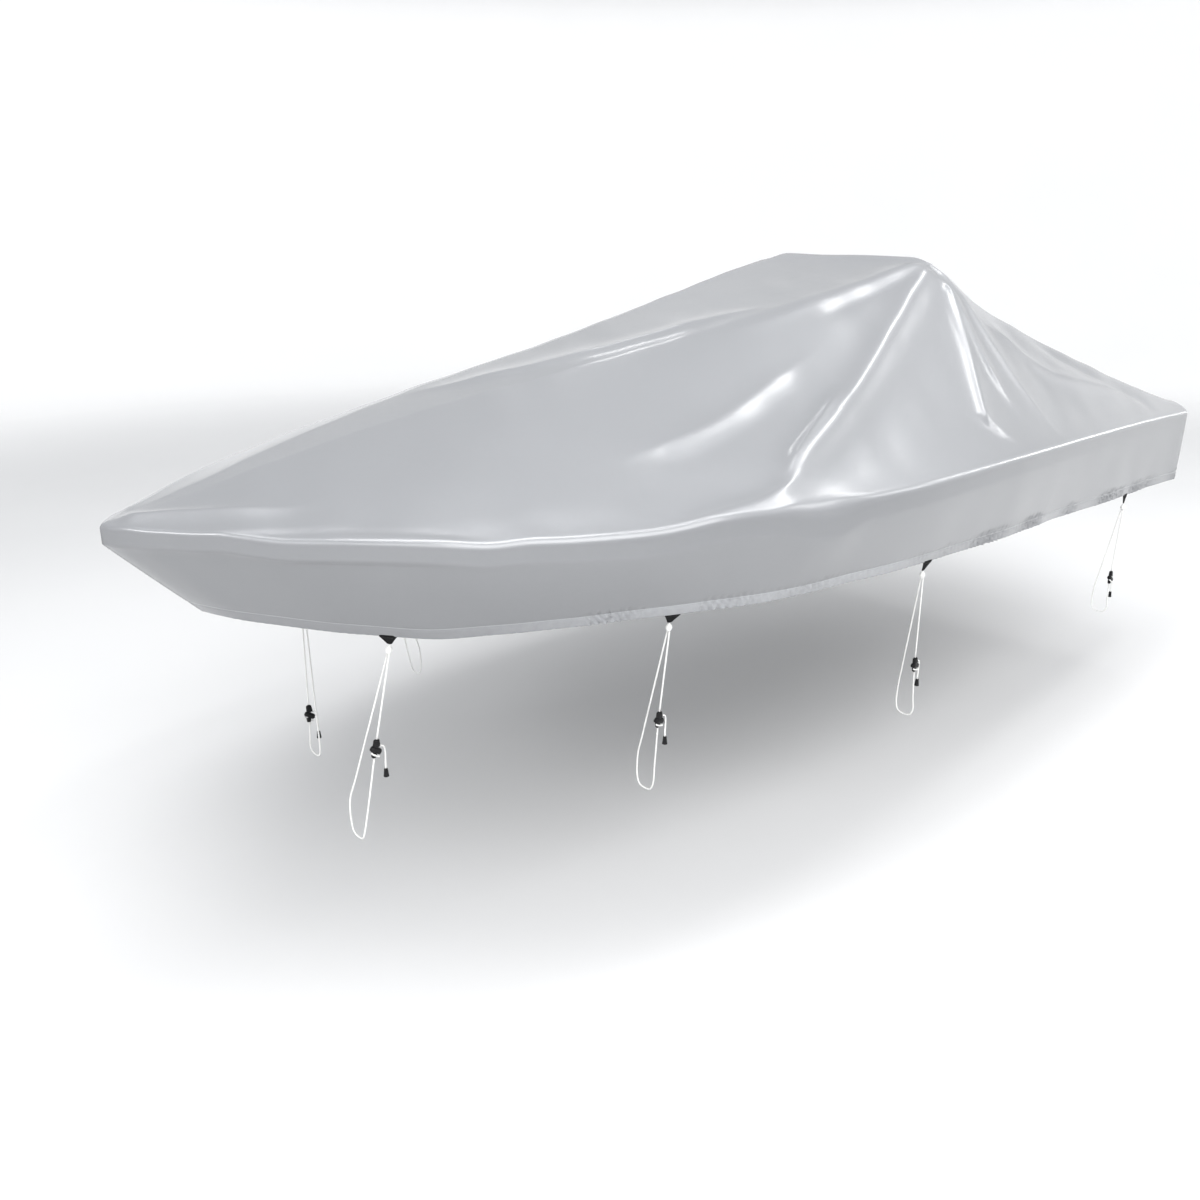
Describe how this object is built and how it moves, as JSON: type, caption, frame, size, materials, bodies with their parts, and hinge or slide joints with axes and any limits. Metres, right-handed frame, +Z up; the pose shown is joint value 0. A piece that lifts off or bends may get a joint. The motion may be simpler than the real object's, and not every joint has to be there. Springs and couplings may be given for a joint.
{
  "type": "boat cover",
  "caption": "Fitted trailer cover for an open boat, peaked over a cross bar, with an elastic hem and cord tie-downs.",
  "frame": {"origin": "under the ridge of the cover, at the middle of the bar that holds it up, on the underside of the cloth", "axes": "+X towards the bow, +Y to port, +Z up"},
  "size_m": [4.53, 2.048, 1.4541],
  "materials": {
    "silver_polyester": "coated, satin",
    "black_webbing": "woven, matt",
    "white_cord": "braided, matt",
    "black_plastic": "moulded, satin"
  },
  "bodies": {
    "root": {"cover_cloth": "silver_polyester", "tie_port_1_tab": "black_webbing", "tie_port_1_knot": "white_cord", "tie_port_1_line": "white_cord", "tie_port_1_fall": "white_cord", "tie_port_1_lock": "black_plastic", "tie_port_1_tail": "white_cord", "tie_port_1_toggle": "black_plastic", "tie_port_2_tab": "black_webbing", "tie_port_2_knot": "white_cord", "tie_port_2_line": "white_cord", "tie_port_2_fall": "white_cord", "tie_port_2_lock": "black_plastic", "tie_port_2_tail": "white_cord", "tie_port_2_toggle": "black_plastic", "tie_port_3_tab": "black_webbing", "tie_port_3_knot": "white_cord", "tie_port_3_line": "white_cord", "tie_port_3_fall": "white_cord", "tie_port_3_lock": "black_plastic", "tie_port_3_tail": "white_cord", "tie_port_3_toggle": "black_plastic", "tie_port_4_tab": "black_webbing", "tie_port_4_knot": "white_cord", "tie_port_4_line": "white_cord", "tie_port_4_fall": "white_cord", "tie_port_4_lock": "black_plastic", "tie_port_4_tail": "white_cord", "tie_port_4_toggle": "black_plastic", "tie_starboard_1_tab": "black_webbing", "tie_starboard_1_knot": "white_cord", "tie_starboard_1_line": "white_cord", "tie_starboard_1_fall": "white_cord", "tie_starboard_1_lock": "black_plastic", "tie_starboard_1_tail": "white_cord", "tie_starboard_1_toggle": "black_plastic", "tie_starboard_2_tab": "black_webbing", "tie_starboard_2_knot": "white_cord", "tie_starboard_2_line": "white_cord", "tie_starboard_2_fall": "white_cord", "tie_starboard_2_lock": "black_plastic", "tie_starboard_2_tail": "white_cord", "tie_starboard_2_toggle": "black_plastic", "tie_starboard_3_tab": "black_webbing", "tie_starboard_3_knot": "white_cord", "tie_starboard_3_line": "white_cord", "tie_starboard_3_fall": "white_cord", "tie_starboard_3_lock": "black_plastic", "tie_starboard_3_tail": "white_cord", "tie_starboard_3_toggle": "black_plastic", "tie_starboard_4_tab": "black_webbing", "tie_starboard_4_knot": "white_cord", "tie_starboard_4_line": "white_cord", "tie_starboard_4_fall": "white_cord", "tie_starboard_4_lock": "black_plastic", "tie_starboard_4_tail": "white_cord", "tie_starboard_4_toggle": "black_plastic"}
  },
  "joints": []
}
